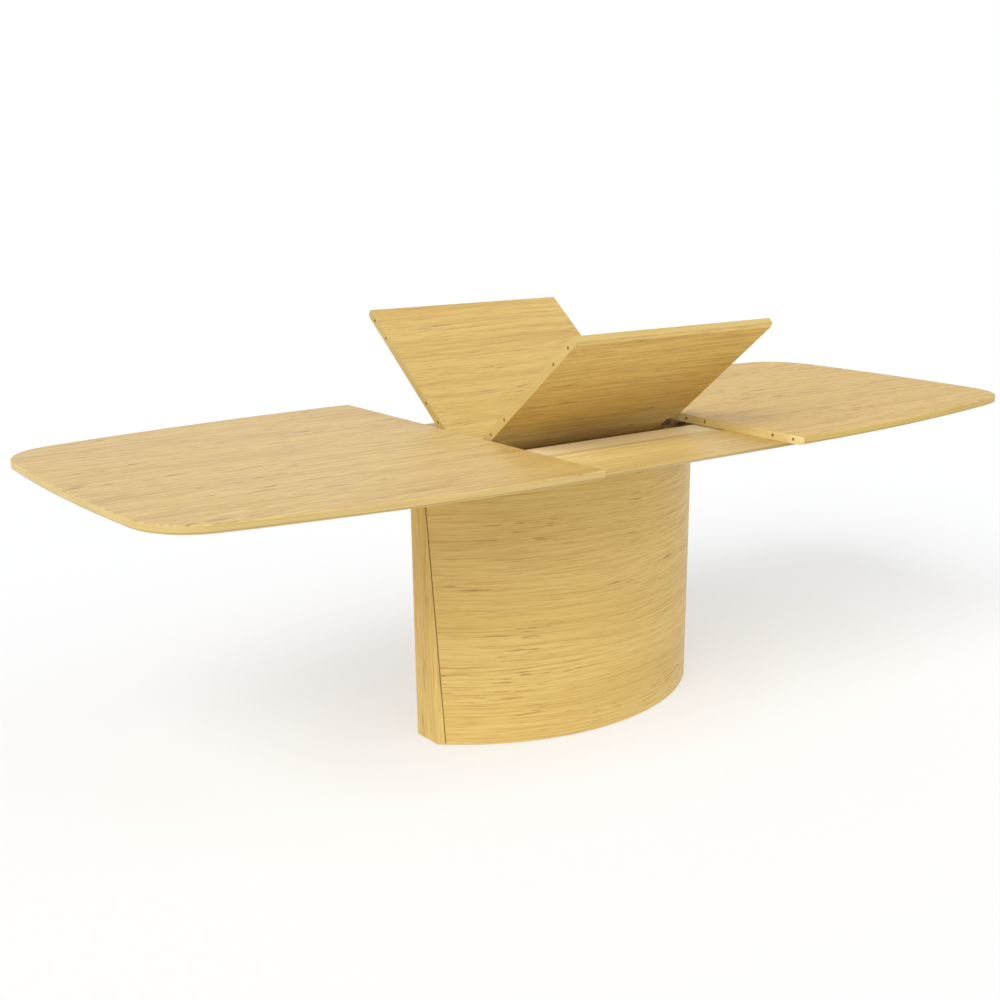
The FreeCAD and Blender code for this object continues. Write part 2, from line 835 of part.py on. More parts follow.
def hinge_mortise(side, x):
    """Pocket for one hinge in a panel's edge: for its plate, and above that for the knuckles."""
    x_range = (x - hinge_length / 2, x + hinge_length / 2)
    reach = hinge_knuckle_radius + hinge_recess
    y_knuckle = sorted((0.0, side * reach))
    y_plate = sorted((0.0, side * (joint_half_gap + hinge_plate_thickness)))
    upper = box(x_range, y_knuckle, (hinge_body_top(), table_height))
    lower = box(x_range, y_plate, (hinge_plate_bottom(), hinge_body_top()))
    return upper.fuse(lower)


def knuckle_spans(side, x):
    """The front plate has the middle knuckle and the back plate the two outer ones."""
    inner = hinge_centre_length / 2
    if side < 0:
        return [(x - inner, x + inner)]
    outer = hinge_length / 2
    room = inner + hinge_recess
    return [(x - outer, x - room), (x + room, x + outer)]


def hinge_plate(side, x):
    """Plate let into a panel's edge, with its knuckles on the hinge axis."""
    y_range = sorted((side * joint_half_gap, side * (joint_half_gap + hinge_plate_thickness)))
    ends = (x - hinge_length / 2, x + hinge_length / 2)
    plate = box(ends, y_range, (hinge_plate_bottom(), hinge_body_top()))
    knuckles = []
    for span in knuckle_spans(side, x):
        knuckles.append(rod_along_x(0, hinge_axis_z, hinge_knuckle_radius, span))
        y_neck = sorted((side * joint_half_gap, side * hinge_knuckle_radius))
        knuckles.append(box(span, y_neck, (hinge_body_top(), hinge_axis_z)))
    body = plate.fuse(knuckles).removeSplitter()
    radius = hinge_pin_radius if side < 0 else hinge_pin_radius + hinge_clearance
    return body.cut(rod_along_x(0, hinge_axis_z, radius, ends))


def hinge_pin(x):
    """Pin fixed in the front plate's knuckle; the back plate's knuckles turn on it."""
    return rod_along_x(0, hinge_axis_z, hinge_pin_radius, (x - hinge_length / 2, x + hinge_length / 2))


def pivot_bracket():
    """Angle bracket under the front panel's right end; its ear turns on the pivot pin."""
    ear_outer = leaf_half_length - pivot_ear_inset
    ear_inner = ear_outer - pivot_ear_thickness
    ear_y = (pivot_y - pivot_ear_width / 2, pivot_y + pivot_ear_width / 2)
    base_y = (pivot_y - pivot_base_width / 2, pivot_y + pivot_base_width / 2)
    ear = box((ear_inner, ear_outer), ear_y, (pivot_z - pivot_ear_tip, underside))
    tips = [e for e in ear.Edges if abs(e.tangentAt(0).x) > 0.9 and e.Vertexes[0].Z < pivot_z]
    ear = ear.makeFillet(pivot_ear_tip * 0.8, tips)
    base_x = (ear_outer - pivot_base_length, ear_outer)
    base = box(base_x, base_y, (underside - pivot_base_thickness, underside))
    bracket = ear.fuse(base).removeSplitter()
    bore = rod_along_x(pivot_y, pivot_z, pivot_pin_radius + pivot_clearance, (ear_inner, ear_outer))
    return bracket.cut(bore)


# ---- leaf, moved from flat to half open ------------------------------------------------------
def hinge_at_rest():
    """Where the hinge axis is when the front panel has turned up about its pivot."""
    angle = math.radians(leaf_front_angle)
    rise = hinge_axis_z - pivot_z
    y = pivot_y + pivot_offset * math.cos(angle) + rise * math.sin(angle)
    z = pivot_z - pivot_offset * math.sin(angle) + rise * math.cos(angle)
    return y, z


def with_front_panel(shape):
    moved = shape.copy()
    moved.rotate(at(0, pivot_y, pivot_z), at(1, 0, 0), -leaf_front_angle)
    return moved


def with_back_panel(shape):
    y, z = hinge_at_rest()
    moved = shape.copy()
    moved.translate(at(0, y, z - hinge_axis_z))
    moved.rotate(at(0, y, z), at(1, 0, 0), leaf_back_angle)
    return moved


# ---- build -----------------------------------------------------------------------------------
def build_pedestal():
    save("front_shell", shell(-1))
    save("back_shell", shell(1))
    save("right_end_board", end_board())
    save("left_end_board", other_end(end_board()))
    save("right_end_post", end_post())
    save("left_end_post", other_end(end_post()))
    save("pedestal_bottom_plate", bottom_plate())
    save("pedestal_top_plate", top_plate())
    save("right_bulkhead", bulkhead())
    save("left_bulkhead", other_end(bulkhead()))
    save("levelling_feet", group([levelling_foot(x, y) for x, y in foot_spots()]))


def build_frame():
    save("right_cross_beam", cross_beam())
    save("left_cross_beam", other_end(cross_beam()))
    save("beam_bearers", group(both_ends(bearer())))
    save("frame_bolts", group(frame_bolts() + [other_end(bolt) for bolt in frame_bolts()]))
    save("front_support_board", front_board())
    save("front_runner", front_runner())
    save("right_rear_runner", rear_runner())
    save("left_rear_runner", other_end(rear_runner()))
    save("glide_pads", group(glide_pads() + [other_end(pad) for pad in glide_pads()]))
    save("rear_shelf", rear_shelf())
    save("leaf_rest_blocks", group(both_ends(leaf_rest_block())))
    save("pivot_plates", group(both_ends(pivot_plate())))
    save("pivot_pins", group(both_ends(pivot_pin())))
    save("slide_stop_blocks", group(stop_blocks() + [other_end(block) for block in stop_blocks()]))
    save("rack_guide", rack_guide())
    save("pinion_axle", pinion_axle())


def build_tops():
    save("left_top_panel", left_top_panel())
    save("right_top_panel", right_top_panel())
    save("left_dowel_pins", group([dowel(-half_gap, y) for y in dowel_rows()]))
    save("right_front_slide", front_slide().fuse(rack_arm()).removeSplitter())
    save("left_front_slide", other_end(front_slide()))
    save("right_rear_slide", rear_slide())
    save("left_rear_slide", other_end(rear_slide()))
    save("right_stop_pins", group(stop_pins()))
    save("left_stop_pins", group([other_end(pin) for pin in stop_pins()]))
    save("right_batten", batten())
    save("left_batten", other_end(batten()))
    save("left_rack", rack())
    save("right_rack", far_rack())
    save("pinion", pinion())


def build_leaf():
    save("leaf_front_panel", with_front_panel(leaf_panel(-1)))
    save("leaf_front_dowel_pins", with_front_panel(group(leaf_dowels(-1))))
    save("leaf_front_hinge_plates", with_front_panel(group([hinge_plate(-1, x) for x in hinge_places])))
    save("leaf_pivot_brackets", with_front_panel(group(both_ends(pivot_bracket()))))
    save("leaf_hinge_pins", with_front_panel(group([hinge_pin(x) for x in hinge_places])))
    save("leaf_back_panel", with_back_panel(leaf_panel(1)))
    save("leaf_back_dowel_pins", with_back_panel(group(leaf_dowels(1))))
    save("leaf_back_hinge_plates", with_back_panel(group([hinge_plate(1, x) for x in hinge_places])))


os.makedirs("parts", exist_ok=True)
build_pedestal()
build_frame()
build_tops()
build_leaf()
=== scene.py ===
import json
import math
from collections import namedtuple

import bpy
from mathutils import Matrix, Vector

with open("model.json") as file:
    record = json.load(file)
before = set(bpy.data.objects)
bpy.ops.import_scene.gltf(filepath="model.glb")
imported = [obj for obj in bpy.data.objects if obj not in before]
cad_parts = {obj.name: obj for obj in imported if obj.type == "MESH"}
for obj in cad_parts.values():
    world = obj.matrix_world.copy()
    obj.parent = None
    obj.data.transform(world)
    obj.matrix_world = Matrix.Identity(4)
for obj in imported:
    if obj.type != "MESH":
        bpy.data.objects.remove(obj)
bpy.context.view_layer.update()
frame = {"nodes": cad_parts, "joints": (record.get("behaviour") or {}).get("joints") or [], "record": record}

scene = bpy.context.scene
nodes = frame["nodes"]


# ---- places and slopes taken from the frame, in metres and radians ------------------------------
def low_corner(name):
    """Lowest coordinates of a CAD object, in its own axes."""
    return Vector([min(corner[axis] for corner in nodes[name].bound_box) for axis in range(3)])


def high_corner(name):
    """Highest coordinates of a CAD object, in its own axes."""
    return Vector([max(corner[axis] for corner in nodes[name].bound_box) for axis in range(3)])


def lowest_angle(name):
    joint = next(joint for joint in frame["joints"] if joint["name"] == name)
    return math.radians(joint["range_deg"][0])


HALF_GAP = low_corner("right_top_panel").x
TOP_UNDERSIDE = low_corner("right_top_panel").z
BOARD_FRONT = low_corner("front_support_board").y
BOARD_BACK = high_corner("front_support_board").y
BOARD_UNDERSIDE = low_corner("front_support_board").z
BOARD_TOP = high_corner("front_support_board").z
RUNNER_FRONT = low_corner("front_runner").y
LEAF_FOOT = low_corner("leaf_front_panel").z

# At its lower limit the leaf lies flat, so that the limits give the panels' slopes at rest.
FRONT_SLOPE = -lowest_angle("leaf_swing")
BACK_SLOPE = -lowest_angle("leaf_fold") - FRONT_SLOPE


# ---- helpers for materials ----------------------------------------------------------------------
BROAD_FACE = (0.45, 0.65)           # part of the normal across the board: start and full
DOWNWARD = (-0.2, -0.5)             # upward part of the normal: start and full
FADE = 0.001                        # width over which a painted shade line or a face's painted light ends
UNMOVED = (0.0, 0.0, 0.0)


def rgb(red, green, blue):
    return (red, green, blue, 1.0)


def scaled(colour, factors):
    """A colour whose channels are multiplied by the factors, up to full strength."""
    return rgb(*[min(1.0, channel * factor) for channel, factor in zip(colour, factors)])


class Graph:
    """Adds nodes to the tree of one new material and links them."""

    def __init__(self, name):
        self.material = bpy.data.materials.new(name)
        self.material.use_nodes = True
        self.tree = self.material.node_tree
        self.shader = self.tree.nodes["Principled BSDF"]

    def plug(self, value, socket):
        """Gives a socket either another node's output or a constant."""
        if isinstance(value, bpy.types.NodeSocket):
            self.tree.links.new(value, socket)
        else:
            socket.default_value = value

    def add(self, kind, inputs=None, **settings):
        node = self.tree.nodes.new("ShaderNode" + kind)
        for key, value in settings.items():
            setattr(node, key, value)
        for key, value in (inputs or {}).items():
            self.plug(value, node.inputs[key])
        return node

    def math(self, operation, first, second=0.0):
        return self.add("Math", {0: first, 1: second}, operation=operation).outputs[0]

    def noise(self, vector, detail=2.0, rough=0.5):
        inputs = {"Vector": vector, "Scale": 1.0, "Detail": detail, "Roughness": rough}
        return self.add("TexNoise", inputs).outputs["Fac"]

    def stretch(self, vector, scale, shift=UNMOVED):
        inputs = {"Vector": vector, "Scale": scale, "Location": shift}
        return self.add("Mapping", inputs).outputs[0]

    def ramp(self, value, low, high, to_low=0.0, to_high=1.0):
        inputs = {"Value": value, 1: low, 2: high, 3: to_low, 4: to_high}
        return self.add("MapRange", inputs, clamp=True).outputs[0]

    def mix(self, share, first, second, blend="MIX"):
        inputs = {0: share, 6: first, 7: second}
        return self.add("Mix", inputs, data_type="RGBA", blend_type=blend).outputs[2]

    def tinted(self, colour, tint):
        return self.mix(1.0, colour, rgb(*tint), "MULTIPLY")

    def coordinates(self, kind):
        return self.add("TexCoord").outputs[kind]

    def split(self, vector):
        return self.add("SeparateXYZ", {0: vector}).outputs

    def surface(self, socket, value):
        self.plug(value, self.shader.inputs[socket])

    def bump(self, height, strength, distance):
        node = self.add("Bump", {"Height": height, "Strength": strength, "Distance": distance})
        self.surface("Normal", node.outputs[0])


def grain_vector(g, turn=UNMOVED, offset=UNMOVED):
    """Coordinates in metres with X along the grain, Y across it and Z into the wood."""
    inputs = {"Vector": g.coordinates("Object"), "Rotation": turn, "Location": offset}
    return g.add("Mapping", inputs).outputs[0]


def face_share(g, turn):
    """One on the broad faces of a board and nought on its edges."""
    inputs = {"Vector": g.coordinates("Normal"), "Rotation": turn}
    turned = g.add("Mapping", inputs, vector_type="VECTOR").outputs[0]
    return g.ramp(g.math("ABSOLUTE", g.split(turned)["Z"]), *BROAD_FACE)


# A noise's features per metre along and across the grain, its place, detail and roughness.
Figure = namedtuple("Figure", "along across shift detail rough")
# The noise at which a layer of colour starts and at which it is full, and its share when full.
Layer = namedtuple("Layer", "start full share")
# A band of painted light or shade: its axis, where it starts and where it is full, and its tint.
Zone = namedtuple("Zone", "axis start end tint")


def figure(g, place, shape, fineness=1.0):
    across = shape.across * fineness
    scaled_place = g.stretch(place, (shape.along, across, across), shape.shift)
    return g.noise(scaled_place, shape.detail, shape.rough)


def layer(g, noise, step, contrast=1.0):
    return g.math("MULTIPLY", g.ramp(noise, step.start, step.full), step.share * contrast)


def painted_zones(g, colour, zones, under=False):
    """Paints light and shade: multiplies the colour by tints that grow in between two places along an axis
    of the object.

    With under they are kept to the faces that look down.
    """
    place = g.split(g.coordinates("Object"))
    if under:
        downward = g.ramp(g.split(g.coordinates("Normal"))["Z"], *DOWNWARD)
    for zone in zones:
        share = g.ramp(place[zone.axis], zone.start, zone.end)
        if under:
            share = g.math("MULTIPLY", share, downward)
        colour = g.mix(share, colour, g.tinted(colour, zone.tint))
    return colour


# ---- oak ----------------------------------------------------------------------------------------
OAK_LIGHT = (0.690, 0.480, 0.172)
OAK_MEAN = (0.640, 0.430, 0.142)
OAK_DARK = (0.480, 0.275, 0.085)
OAK_PORE = (0.270, 0.125, 0.040)
EDGE_TINT = (0.82, 0.85, 0.82)

DRIFT = Figure(1.1, 5.0, UNMOVED, 1.5, 0.5)
TONE = Figure(0.9, 9.0, UNMOVED, 2.0, 0.5)
BANDS = Figure(1.6, 34.0, (2.0, 0.3, 1.1), 2.0, 0.6)
LINES = Figure(2.2, 110.0, UNMOVED, 3.0, 0.65)
DASHES = Figure(5.0, 250.0, (1.3, 4.4, 2.9), 2.0, 0.6)
PORES = Figure(16.0, 420.0, UNMOVED, 2.0, 0.6)
FLECKS = Figure(15.0, 210.0, (0.3, 5.9, 2.2), 2.0, 0.55)
FLECK_PLACES = Figure(3.2, 20.0, (3.1, 1.7, 0.4), 2.0, 0.5)
PLY_LINES = (5.0, 5.0, 420.0)       # lines on the edges, side by side through the thickness

DARK_LINES = Layer(0.49, 0.72, 0.66)
LIGHT_LINES = Layer(0.47, 0.30, 0.50)
DARK_DASHES = Layer(0.57, 0.70, 0.50)
DARK_PORES = Layer(0.52, 0.72, 0.70)
DARK_FLECKS = Layer(0.58, 0.68, 0.60)
EDGE_LINES = Layer(0.45, 0.70, 0.45)
EDGE_CLOUDS = Layer(0.68, 0.32, 0.25)
LIGHT_CLOUDS = (0.32, 0.68)         # start and full
DARK_BANDS = (0.48, 0.72)
FLECKED_PLACES = (0.54, 0.62)
OAK_GLOSS = (0.35, 0.75)            # pore noise of the smoothest and the roughest places
SMOOTHER, ROUGHER = 0.03, 0.10      # how far these places depart from the board's roughness
LINE_DEPTH = 0.4                    # depth of a dark line against that of a pore
LEAF_DARKENING = 0.12               # most by which one leaf of veneer is darker than another
LEAF_SHIFTS = (9.0, 4.0)            # how far apart the leaves lie in the figure, along and across

# Painted shade along a board's edge: the heights between which it lies, its share, and the distance from the
# middle beyond which it is drawn.
ShadeRim = namedtuple("ShadeRim", "bottom top share inner_end")
# Painted light on a face towards the gap: how far from the middle it reaches, and its tint.
Lift = namedtuple("Lift", "half_width tint")


def swayed(g, flat, sway):
    """Coordinates whose lines wander slowly across the grain."""
    along, across, into = g.split(flat)
    drift = g.math("SUBTRACT", figure(g, flat, DRIFT), 0.5)
    across = g.math("ADD", across, g.math("MULTIPLY", drift, sway))
    return g.add("CombineXYZ", {0: along, 1: across, 2: into}).outputs[0]


def leaf_chance(g, flat, width):
    """A random number from nought to one for each leaf of veneer of that width."""
    number = g.math("FLOOR", g.math("DIVIDE", g.split(flat)[1], width))
    return g.add("TexWhiteNoise", {"W": number}, noise_dimensions="1D").outputs["Value"]


def edge_colour(g, place, tone, light, dark, tint, painted_lift):
    """Narrow faces: lines along the board and, if asked, painted light that makes the face towards the gap
    paler.
    """
    lines = g.noise(g.stretch(place, PLY_LINES))
    colour = g.mix(layer(g, lines, EDGE_LINES), light, dark)
    colour = g.tinted(g.mix(layer(g, tone, EDGE_CLOUDS), colour, dark), tint)
    if painted_lift:
        from_centre = g.math("ABSOLUTE", g.split(g.coordinates("Object"))["X"])
        near = g.ramp(from_centre, painted_lift.half_width, painted_lift.half_width + FADE, 1.0, 0.0)
        colour = g.mix(near, colour, g.tinted(colour, painted_lift.tint))
    return colour


def rim_shade_share(g, shade_rim):
    """Share of a painted shade line that runs round the board between two heights."""
    place = g.split(g.coordinates("Object"))
    above = g.ramp(place["Z"], shade_rim.bottom - FADE, shade_rim.bottom)
    below = g.ramp(place["Z"], shade_rim.top, shade_rim.top - 2 * FADE, 0.0, shade_rim.share)
    from_centre = g.math("ABSOLUTE", place["X"])
    outside = g.ramp(from_centre, shade_rim.inner_end, shade_rim.inner_end + FADE)
    return g.math("MULTIPLY", g.math("MULTIPLY", above, below), outside)


def oak(
    name,
    turn=UNMOVED,           # rotation that lays the grain along X and the broad faces across Z
    offset=UNMOVED,         # place in the figure, so that no two boards are alike
    tint=(1.0, 1.0, 1.0),
    edge_tint=EDGE_TINT,
    rough=0.42,
    shine=0.42,
    contrast=1.0,
    depth=1.0,              # how fast the figure changes into the wood
    pitch=1.0,              # fineness of the growth lines
    mark=1.0,               # fineness of the dashes, pores and flecks
    banding=0.26,           # strength of the dark bands
    sway=0.075,             # how far the lines wander, in metres
    leaf=None,              # width of a leaf of veneer
    shade_rim=None,
    painted_lift=None,
    zones=(),
    under=False,            # keeps the zones to the faces that look down
):
    """Lacquered oak veneer: slow tone drift, growth lines, dashes, fine pores and dark flecks, and on
    request painted shade lines, painted light towards the gap and painted zones of light and shade.
    """
    oak_colours = (OAK_LIGHT, OAK_MEAN, OAK_DARK, OAK_PORE)
    light, mean, dark, pore = [scaled(colour, tint) for colour in oak_colours]
    g = Graph(name)
    place = grain_vector(g, turn, offset)
    flat = g.stretch(place, (1.0, 1.0, depth))
    bent = swayed(g, flat, sway)
    if leaf:
        chance = leaf_chance(g, flat, leaf)
        shifts = {axis: g.math("MULTIPLY", chance, far) for axis, far in enumerate(LEAF_SHIFTS)}
        shift = g.add("CombineXYZ", shifts).outputs[0]
        bent = g.add("VectorMath", {0: bent, 1: shift}, operation="ADD").outputs[0]
    tone = figure(g, bent, TONE)
    lines = figure(g, bent, LINES, pitch)
    pores = figure(g, bent, PORES, mark)

    bands = layer(g, figure(g, bent, BANDS, pitch), Layer(*DARK_BANDS, banding), contrast)
    if leaf:
        bands = g.math("ADD", bands, g.math("MULTIPLY", chance, LEAF_DARKENING))
    dark_lines = layer(g, lines, DARK_LINES, contrast)
    dashes = layer(g, figure(g, bent, DASHES, mark), DARK_DASHES, contrast)
    dark_pores = layer(g, pores, DARK_PORES, contrast)
    flecked = g.ramp(figure(g, bent, FLECK_PLACES), *FLECKED_PLACES)
    flecks = layer(g, figure(g, bent, FLECKS, mark), DARK_FLECKS, contrast)

    colour = g.mix(g.ramp(tone, *LIGHT_CLOUDS), mean, light)
    colour = g.mix(bands, colour, dark)
    colour = g.mix(dark_lines, colour, dark)
    colour = g.mix(layer(g, lines, LIGHT_LINES, contrast), colour, light)
    colour = g.mix(dashes, colour, dark)
    colour = g.mix(dark_pores, colour, dark)
    colour = g.mix(g.math("MULTIPLY", flecks, flecked), colour, pore)

    edge = edge_colour(g, place, tone, light, dark, edge_tint, painted_lift)
    colour = g.mix(face_share(g, turn), edge, colour)
    if shade_rim:
        colour = g.mix(rim_shade_share(g, shade_rim), colour, pore)
    g.surface("Base Color", painted_zones(g, colour, zones, under))
    g.surface("Roughness", g.ramp(pores, *OAK_GLOSS, rough - SMOOTHER, rough + ROUGHER))
    g.surface("Specular IOR Level", shine)
    hollows = g.math("ADD", dark_pores, g.math("MULTIPLY", dark_lines, LINE_DEPTH))
    g.bump(g.math("SUBTRACT", 1.0, hollows), strength=0.25, distance=0.0003)
    return g.material


# ---- other materials ----------------------------------------------------------------------------
BEECH_OFFSET = (0.7, 0.2, 0.5)
BEECH_TONE = Figure(1.5, 14.0, UNMOVED, 3.0, 0.6)
BEECH_FLECKS = Figure(60.0, 520.0, UNMOVED, 1.0, 0.5)
BEECH_CLOUDS = Layer(0.35, 0.70, 0.6)
BEECH_SPOTS = Layer(0.60, 0.75, 0.45)
BEECH_GLOSS = (0.3, 0.7, 0.50, 0.62)        # tone noise, and the roughness at its two values

STEEL_BRUSH = Figure(3.0, 160.0, UNMOVED, 3.0, 0.6)
STEEL_CLOUDS = Figure(22.0, 22.0, UNMOVED, 3.0, 0.6)
STEEL_CLOUD_RANGE = (0.35, 0.7)
STEEL_DULLING = (0.86, 0.86, 0.84)
STEEL_ROUGHER = 0.10

PLASTIC_SPECKS = Figure(1400.0, 1400.0, UNMOVED, 2.0, 0.6)
PLASTIC_CLOUDS = Figure(30.0, 30.0, UNMOVED, 2.0, 0.5)
PLASTIC_PALING = (1.35, 1.35, 1.35)
PLASTIC_ROUGHER = 0.12
MIDDLE = (0.3, 0.7)                 # most of a noise's range


def beech(name, base=rgb(0.82, 0.70, 0.43), dark=rgb(0.64, 0.51, 0.29), zones=()):
    """Plain sanded wood with short, fine flecks, and on request painted zones of light and shade."""
    g = Graph(name)
    flat = grain_vector(g, offset=BEECH_OFFSET)
    tone = figure(g, flat, BEECH_TONE)
    fleck = figure(g, flat, BEECH_FLECKS)
    colour = g.mix(layer(g, tone, BEECH_CLOUDS), base, dark)
    colour = g.mix(layer(g, fleck, BEECH_SPOTS), colour, dark)
    g.surface("Base Color", painted_zones(g, colour, zones))
    g.surface("Roughness", g.ramp(tone, *BEECH_GLOSS))
    g.bump(fleck, strength=0.12, distance=0.0002)
    return g.material


def metal(name, base, rough):
    """Plated steel with a faint brushed grain and dull clouds."""
    g = Graph(name)
    flat = grain_vector(g)
    brush = figure(g, flat, STEEL_BRUSH)
    cloud = g.ramp(figure(g, flat, STEEL_CLOUDS), *STEEL_CLOUD_RANGE)
    g.surface("Base Color", g.mix(cloud, base, scaled(base, STEEL_DULLING)))
    g.surface("Roughness", g.ramp(brush, *MIDDLE, rough, rough + STEEL_ROUGHER))
    g.surface("Metallic", 1.0)
    g.bump(brush, strength=0.06, distance=0.0001)
    return g.material


def plastic(name, base, rough):
    """Moulded plastic with a fine spark-eroded surface."""
    g = Graph(name)
    flat = grain_vector(g)
    speck = figure(g, flat, PLASTIC_SPECKS)
    cloud = g.ramp(figure(g, flat, PLASTIC_CLOUDS), *MIDDLE)
    g.surface("Base Color", g.mix(cloud, base, scaled(base, PLASTIC_PALING)))
    g.surface("Roughness", g.ramp(speck, *MIDDLE, rough, rough + PLASTIC_ROUGHER))
    g.bump(speck, strength=0.15, distance=0.00005)
    return g.material


# ---- what each piece is made of -----------------------------------------------------------------
UPRIGHT = (0.0, math.pi / 2, 0.0)           # grain up the end boards
STANDING = (math.pi / 2, 0.0, 0.0)          # grain level round the shells
CROSSWISE = (0.0, 0.0, math.pi / 2)         # grain along the cross beams
FRONT_TILT = (FRONT_SLOPE, 0.0, 0.0)
BACK_TILT = (-BACK_SLOPE, 0.0, 0.0)

# Painted light on the tops, which are one veneer: the left top's paler, bluer tint paints a sheen; the right
# top's yellower tint paints out part of its sheen.
LEFT_TOP_PAINTED_SHEEN_TINT = (1.03, 1.08, 1.14)
RIGHT_TOP_PAINTED_LIGHT_TINT = (1.01, 1.02, 0.86)
# Painted light: the whole board is paler, standing in for light lost under the leaf.
BOARD_PAINTED_LIGHT_TINT = (1.03, 1.15, 1.30)
PEDESTAL_TINT = (1.005, 1.05, 1.02)
# Painted light and shade on the two leaf panels, which are one veneer: the front panel lighter, the back
# panel darker.
FRONT_LEAF_PAINTED_LIGHT_TINT = (1.09, 1.14, 1.06)
BACK_LEAF_PAINTED_SHADE_TINT = (0.97, 1.01, 0.92)
LEAF_EDGE_TINT = (0.83, 0.87, 0.89)
# Painted shade: the cross beams are darker under the tops.
BEAM_PAINTED_SHADE_TINT = (0.55, 0.50, 0.45)
LOW_SHINE = 0.20

GAP_FACE_END = HALF_GAP + 0.003
# Painted shade lines: along the lower corner of the tops' edges, and round the board's edge below its top.
TOP_RIM_SHADE = ShadeRim(TOP_UNDERSIDE + 0.0036, TOP_UNDERSIDE + 0.0076, 0.55, GAP_FACE_END)
BOARD_RIM_SHADE = ShadeRim(BOARD_UNDERSIDE, BOARD_TOP - 0.0006, 0.45, 0.0)
# Painted light on the right top's face towards the gap.
GAP_FACE_PAINTED_LIGHT = Lift(GAP_FACE_END, (1.36, 1.55, 2.40))

FOOT_PAINTED_SHADE = (      # painted shade: the front panel's underside gets darker down towards the runner
    Zone("Z", LEAF_FOOT + 0.0653, LEAF_FOOT + 0.0413, (0.62, 0.52, 0.42)),
    Zone("Z", LEAF_FOOT + 0.0383, LEAF_FOOT + 0.0333, (0.60, 0.50, 0.40)),
)
BOARD_PAINTED_LIGHT_AND_SHADE = (     # painted light paler towards the runner, painted shade darker beside the right half
    Zone("Y", BOARD_FRONT + 0.035, BOARD_BACK - 0.013, (1.34, 1.46, 1.70)),
    Zone("X", HALF_GAP - 0.206, HALF_GAP - 0.026, (0.76, 0.67, 0.48)),
)
LIP_PAINTED_SHADE = (       # painted shade: a darker band along the front of the runner's lip
    Zone("Y", RUNNER_FRONT + 0.026, RUNNER_FRONT + 0.019, (0.78, 0.72, 0.54)),
)

TOP = {"contrast": 1.35, "mark": 0.55, "leaf": 0.21, "sway": 0.06, "shade_rim": TOP_RIM_SHADE}
LEAF = {"leaf": 0.17, "sway": 0.06, "edge_tint": LEAF_EDGE_TINT}
PEDESTAL = {"tint": PEDESTAL_TINT, "pitch": 1.5, "banding": 0.16, "sway": 0.05, "shine": 0.12}
SHELL = {"turn": STANDING, "depth": 0.03, **PEDESTAL}
END_BOARD = {"turn": UPRIGHT, "depth": 0.1, **PEDESTAL}
BEAM = {"turn": CROSSWISE, "tint": BEAM_PAINTED_SHADE_TINT}


def top_finishes():
    return {
        "left_top_panel": oak(
            "oak_left_top", offset=(0.35, 0.11, 0.0), tint=LEFT_TOP_PAINTED_SHEEN_TINT, **TOP,
        ),
        "right_top_panel": oak(
            "oak_right_top", offset=(7.13, 3.42, 0.0), tint=RIGHT_TOP_PAINTED_LIGHT_TINT,
            shine=LOW_SHINE, painted_lift=GAP_FACE_PAINTED_LIGHT, **TOP,
        ),
    }


def leaf_finishes():
    return {
        "leaf_front_panel": oak(
            "oak_leaf_front", turn=FRONT_TILT, offset=(2.1, 5.3, 0.4), tint=FRONT_LEAF_PAINTED_LIGHT_TINT,
            contrast=1.5, mark=0.7, zones=FOOT_PAINTED_SHADE, under=True, **LEAF,
        ),
        "leaf_back_panel": oak(
            "oak_leaf_back", turn=BACK_TILT, offset=(4.6, 1.9, 0.7), tint=BACK_LEAF_PAINTED_SHADE_TINT,
            contrast=1.1, pitch=1.2, **LEAF,
        ),
        # Dark brown colours on the pivot plates and brackets: painted shade round the pivot.
        "pivot_plates": metal("pivot_plate_steel_painted_shade", rgb(0.24, 0.19, 0.13), rough=0.50),
        "leaf_pivot_brackets": metal("bracket_steel_painted_shade", rgb(0.30, 0.24, 0.17), rough=0.50),
    }


def base_finishes():
    return {
        "front_support_board": oak(
            "oak_front_board", offset=(9.4, 2.2, 0.3), tint=BOARD_PAINTED_LIGHT_TINT,
            shine=LOW_SHINE, shade_rim=BOARD_RIM_SHADE, zones=BOARD_PAINTED_LIGHT_AND_SHADE,
        ),
        "rear_shelf": oak("oak_shelf", offset=(5.9, 6.4, 0.1), rough=0.55),
        "front_shell": oak("oak_front_shell", offset=(1.2, 7.7, 0.2), **SHELL),
        "back_shell": oak("oak_back_shell", offset=(5.5, 8.1, 0.9), **SHELL),
        "left_end_board": oak("oak_left_end", offset=(3.3, 0.6, 0.5), **END_BOARD),
        "right_end_board": oak("oak_right_end", offset=(6.2, 0.1, 0.8), **END_BOARD),
        "left_cross_beam": oak("oak_left_beam", offset=(8.3, 0.4, 0.2), **BEAM),
        "right_cross_beam": oak("oak_right_beam", offset=(2.7, 0.9, 0.6), **BEAM),
        # A paler copy of the beech: painted light on the runner, which the leaf above shades.
        "front_runner": beech(
            "beech_runner_painted_light", rgb(0.95, 0.87, 0.56), rgb(0.76, 0.64, 0.38), LIP_PAINTED_SHADE,
        ),
    }


def slot_finishes():
    """Finishes of the pieces that have none of their own, by the record's material slots."""
    return {
        "plain_beech": beech("beech_plain"),
        "beech_dowel": beech("beech_dowel", rgb(0.52, 0.37, 0.20)),
        "zinc_steel": metal("zinc_steel", rgb(0.56, 0.57, 0.58), rough=0.32),
        "hinge_steel": metal("hinge_steel", rgb(0.48, 0.48, 0.47), rough=0.28),
        "nylon": plastic("nylon_black", rgb(0.030, 0.030, 0.032), rough=0.45),
    }


